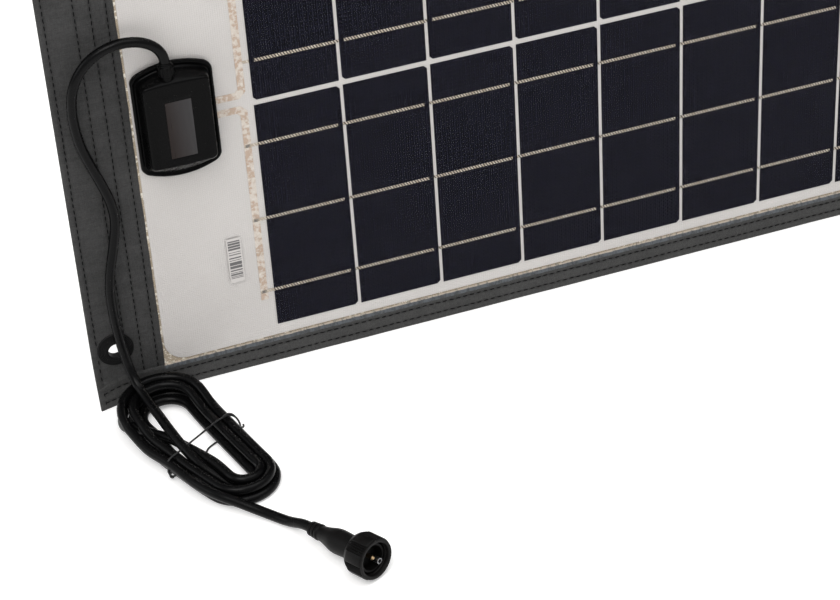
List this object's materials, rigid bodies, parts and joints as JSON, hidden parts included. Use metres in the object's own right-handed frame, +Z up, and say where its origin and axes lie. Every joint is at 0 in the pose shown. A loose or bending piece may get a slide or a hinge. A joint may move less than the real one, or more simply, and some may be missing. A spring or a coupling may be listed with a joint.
{
  "type": "flexible solar sheet",
  "caption": "Thin cloth-backed solar laminate with sewn borders, corner eyelets, a bonded junction box and a tied lead ending in a round plug with a turning coupling ring.",
  "frame": {"origin": "on the axis of the top left eyelet, in the plane of the back cloth's rear face", "axes": "+X along the sheet to the right, +Z up, the sun side faces -Y; the sheet hangs upright and its lead lies on the level of its bottom edge"},
  "size_m": [1.1535, 0.2234, 0.3694],
  "materials": {
    "cloth": "coated fabric, matt",
    "border": "coated fabric, fine grain",
    "binding": "coated fabric, fine grain",
    "thread": "bonded sewing thread",
    "carrier": "glass fibre sheet, raw edge",
    "white_film": "white film with an embossed grid",
    "encapsulant": "clear encapsulant",
    "clear_film": "clear embossed film",
    "cell": "silicon cell under embossed film",
    "ribbon": "tinned copper ribbon",
    "bus": "copper bus ribbon under film",
    "label": "plain label with blank bars",
    "eyelet": "moulded, ribbed face",
    "bond": "adhesive foam",
    "box": "satin moulded",
    "box_plate": "blank plate",
    "contact_brass": "plated brass",
    "contact_tin": "tinned",
    "jacket": "matt flexible jacket",
    "core": "insulated core",
    "tie": "coated wire tie",
    "plug": "overmoulded, fine matt grain",
    "coupling": "moulded, ribbed grip",
    "seal": "silicone seal"
  },
  "bodies": {
    "sheet": {"back_cloth": "cloth", "carrier_sheet": "carrier", "back_film": "white_film", "rear_encapsulant": "encapsulant", "upper_cells": "cell", "lower_cells": "cell", "upper_tab_ribbons": "ribbon", "lower_tab_ribbons": "ribbon", "upper_bus_ribbon": "bus", "lower_bus_ribbon": "bus", "end_bus_ribbon": "bus", "front_encapsulant": "encapsulant", "front_film": "clear_film", "id_label": "label", "left_border": "border", "right_border": "border", "top_binding": "binding", "bottom_binding": "binding", "border_thread": "thread", "eyelet_rings": "eyelet", "eyelet_washers": "eyelet", "box_bond_pad": "bond", "box_base": "box", "box_lid": "box", "box_plate": "box_plate", "terminal_clips": "contact_brass", "bypass_diode": "eyelet", "cord_cores": "core", "gland_nut": "box", "gland_seal": "jacket", "cord_run": "jacket", "cord_hank": "jacket", "cord_tail": "jacket", "twist_tie": "tie", "plug_body": "plug", "contact_insert": "eyelet", "contact_pin": "contact_brass", "contact_socket": "contact_tin", "plug_seal": "seal"},
    "coupling": {"coupling_ring": "coupling"}
  },
  "joints": [
    {"name": "coupling_turn", "type": "hinge", "parent": "sheet", "child": "coupling", "pos_m": [0.08371, -0.20459, -0.31826], "axis": [0.4515, -0.8861, 0.1045], "continuous": true}
  ]
}
